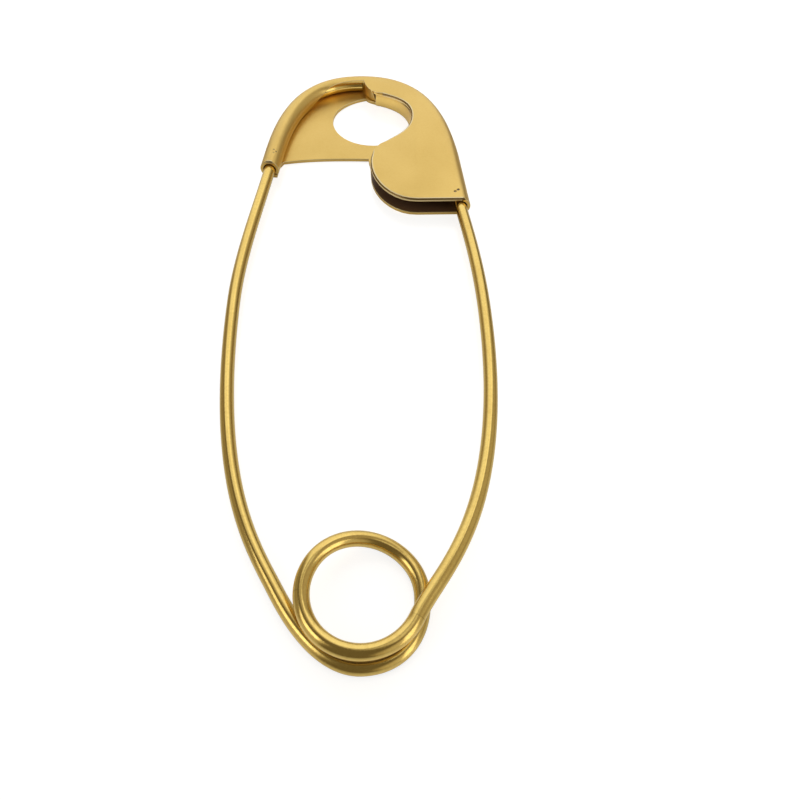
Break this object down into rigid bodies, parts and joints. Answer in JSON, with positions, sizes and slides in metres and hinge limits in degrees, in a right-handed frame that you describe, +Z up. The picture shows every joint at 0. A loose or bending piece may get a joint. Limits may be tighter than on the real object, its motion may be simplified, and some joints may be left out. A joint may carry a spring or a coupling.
{
  "type": "safety pin",
  "caption": "Large brass safety pin: one wire bent into a fixed arm, a spring coil and a pointed pin arm, held in a folded sheet clasp with a hole.",
  "frame": {"origin": "under the middle of the pin's length and width, on the surface it lies on", "axes": "+Y from the coil to the clasp, +X towards the pin arm, +Z up out of the clasp's front plate"},
  "size_m": [0.075, 0.2149, 0.0081],
  "materials": {
    "sheet_brass": "polished sheet, pale gold",
    "fixed_arm_brass": "polished drawn wire",
    "coil_brass": "polished drawn wire",
    "pin_brass": "polished drawn wire with a ground point"
  },
  "bodies": {
    "clasp_and_fixed_arm": {"clasp": "sheet_brass", "fixed_arm": "fixed_arm_brass"},
    "coil": {"spring_coil": "coil_brass"},
    "pin_arm": {"pin_arm": "pin_brass"}
  },
  "joints": [
    {"name": "pin_arm_swing", "type": "hinge", "parent": "clasp_and_fixed_arm", "child": "coil", "pos_m": [0.0012, -0.0908, 0.00185], "axis": [0, 0, 1], "range_deg": [-35, 13], "stiffness_Nm_per_rad": 3, "deforming": ["spring_coil"]},
    {"name": "pin_arm_lift", "type": "hinge", "parent": "coil", "child": "pin_arm", "pos_m": [0.01277, -0.09695, 0.00635], "axis": [0.9897, -0.1434, 0], "range_deg": [0, 15], "stiffness_Nm_per_rad": 2}
  ]
}
